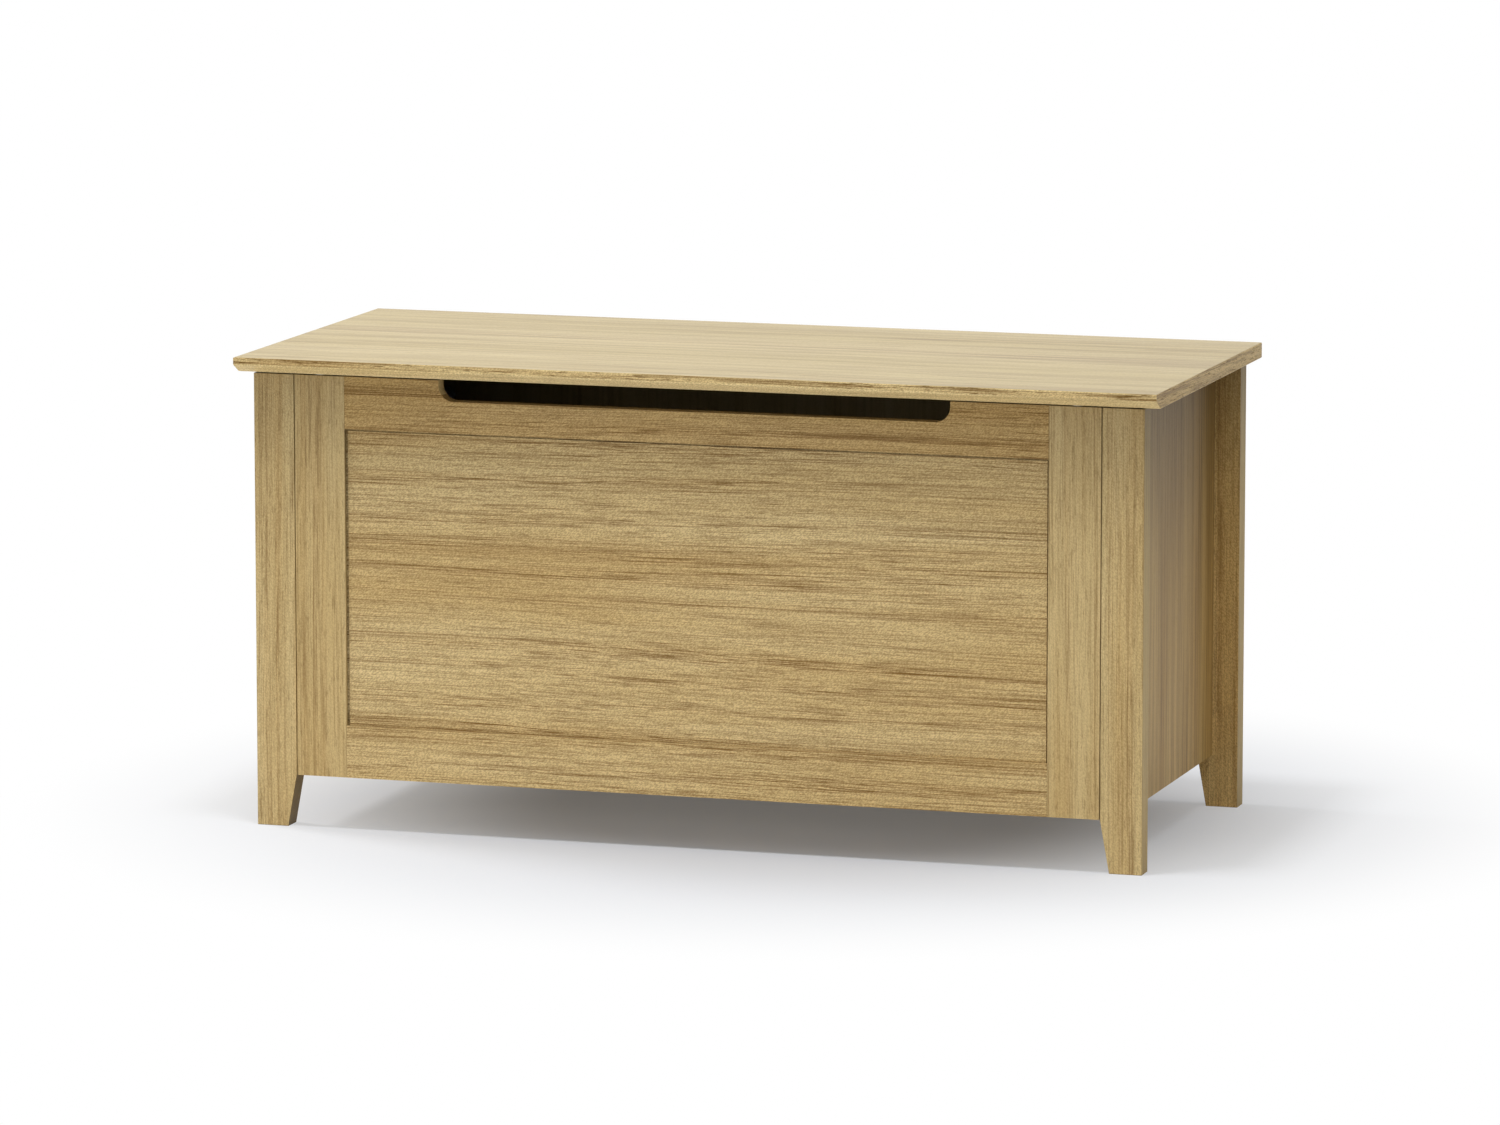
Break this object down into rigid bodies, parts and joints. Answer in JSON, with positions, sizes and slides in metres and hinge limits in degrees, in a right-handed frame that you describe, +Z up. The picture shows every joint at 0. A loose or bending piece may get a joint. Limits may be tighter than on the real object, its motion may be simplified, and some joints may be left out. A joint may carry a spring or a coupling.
{
  "type": "blanket chest",
  "caption": "Low oak-veneered blanket chest on board legs, with a panelled front, a finger slot in the top rail and a lid hinged along the back on gas struts.",
  "frame": {"origin": "middle of the footprint, on the floor under the legs", "axes": "+X along the chest's width to the right seen from the front, +Y from the front to the back, +Z up"},
  "size_m": [0.9, 0.4064, 0.45],
  "materials": {
    "oak_lid": "pale oak veneer, grain along the width, satin lacquer",
    "oak_uprights": "oak veneer, grain upright, satin lacquer",
    "oak_rails": "oak veneer, grain along the width, satin lacquer",
    "oak_centre_panel": "oak veneer, grain along the width, satin lacquer",
    "oak_side_panels": "oak veneer, grain upright, satin lacquer",
    "base_board": "veneered board",
    "softwood": "planed softwood",
    "hinge_steel": "brass-plated steel",
    "zinc_steel": "zinc-plated steel",
    "black_painted_steel": "black gloss paint",
    "rod_steel": "polished rod",
    "bumper_rubber": "pale soft bumper"
  },
  "bodies": {
    "carcass": {"front_left_leg": "oak_uprights", "front_right_leg": "oak_uprights", "rear_left_leg": "oak_uprights", "rear_right_leg": "oak_uprights", "front_left_stile": "oak_uprights", "front_right_stile": "oak_uprights", "front_top_rail": "oak_rails", "front_bottom_rail": "oak_rails", "front_centre_panel": "oak_centre_panel", "left_side_panel": "oak_side_panels", "right_side_panel": "oak_side_panels", "back_panel": "oak_side_panels", "base_panel": "base_board", "front_batten": "softwood", "back_batten": "softwood", "left_batten": "softwood", "right_batten": "softwood", "front_left_lower_cam": "zinc_steel", "front_left_upper_cam": "zinc_steel", "front_right_lower_cam": "zinc_steel", "front_right_upper_cam": "zinc_steel", "back_left_lower_cam": "zinc_steel", "back_left_upper_cam": "zinc_steel", "back_right_lower_cam": "zinc_steel", "back_right_upper_cam": "zinc_steel", "left_lid_bumper": "bumper_rubber", "left_hinge_body_leaf": "hinge_steel", "left_hinge_pin": "hinge_steel", "left_hinge_body_screw_1": "hinge_steel", "left_hinge_body_screw_2": "hinge_steel", "left_strut_side_bracket": "zinc_steel", "left_side_bracket_screw_1": "zinc_steel", "left_side_bracket_screw_2": "zinc_steel", "right_lid_bumper": "bumper_rubber", "right_hinge_body_leaf": "hinge_steel", "right_hinge_pin": "hinge_steel", "right_hinge_body_screw_1": "hinge_steel", "right_hinge_body_screw_2": "hinge_steel", "right_strut_side_bracket": "zinc_steel", "right_side_bracket_screw_1": "zinc_steel", "right_side_bracket_screw_2": "zinc_steel"},
    "lid": {"lid_panel": "oak_lid", "left_hinge_lid_leaf": "hinge_steel", "left_hinge_lid_screw_1": "hinge_steel", "left_hinge_lid_screw_2": "hinge_steel", "left_strut_lid_bracket": "zinc_steel", "left_lid_bracket_screw_1": "zinc_steel", "left_lid_bracket_screw_2": "zinc_steel", "right_hinge_lid_leaf": "hinge_steel", "right_hinge_lid_screw_1": "hinge_steel", "right_hinge_lid_screw_2": "hinge_steel", "right_strut_lid_bracket": "zinc_steel", "right_lid_bracket_screw_1": "zinc_steel", "right_lid_bracket_screw_2": "zinc_steel"},
    "left_strut_cylinder": {"left_strut_cylinder": "black_painted_steel"},
    "left_strut_rod": {"left_strut_rod": "rod_steel"},
    "right_strut_cylinder": {"right_strut_cylinder": "black_painted_steel"},
    "right_strut_rod": {"right_strut_rod": "rod_steel"}
  },
  "joints": [
    {"name": "lid_hinge", "type": "hinge", "parent": "carcass", "child": "lid", "pos_m": [0, 0.2002, 0.4345], "axis": [-1, 0, 0], "range_deg": [0, 80]},
    {"name": "left_strut_foot", "type": "hinge", "parent": "carcass", "child": "left_strut_cylinder", "pos_m": [-0.379, 0.1658, 0.23748], "axis": [-1, 0, 0], "range_deg": [0, 40]},
    {"name": "left_strut_head", "type": "hinge", "parent": "lid", "child": "left_strut_rod", "pos_m": [-0.379, 0.00097, 0.417], "axis": [1, 0, 0], "range_deg": [0, 40]},
    {"name": "right_strut_foot", "type": "hinge", "parent": "carcass", "child": "right_strut_cylinder", "pos_m": [0.379, 0.1658, 0.23748], "axis": [-1, 0, 0], "range_deg": [0, 40]},
    {"name": "right_strut_head", "type": "hinge", "parent": "lid", "child": "right_strut_rod", "pos_m": [0.379, 0.00097, 0.417], "axis": [1, 0, 0], "range_deg": [0, 40]}
  ],
  "couplings": [
    {"joint": "left_strut_foot", "follows": "lid_hinge", "ratio": 0.5},
    {"joint": "left_strut_head", "follows": "lid_hinge", "ratio": 0.5},
    {"joint": "right_strut_foot", "follows": "lid_hinge", "ratio": 0.5},
    {"joint": "right_strut_head", "follows": "lid_hinge", "ratio": 0.5}
  ]
}
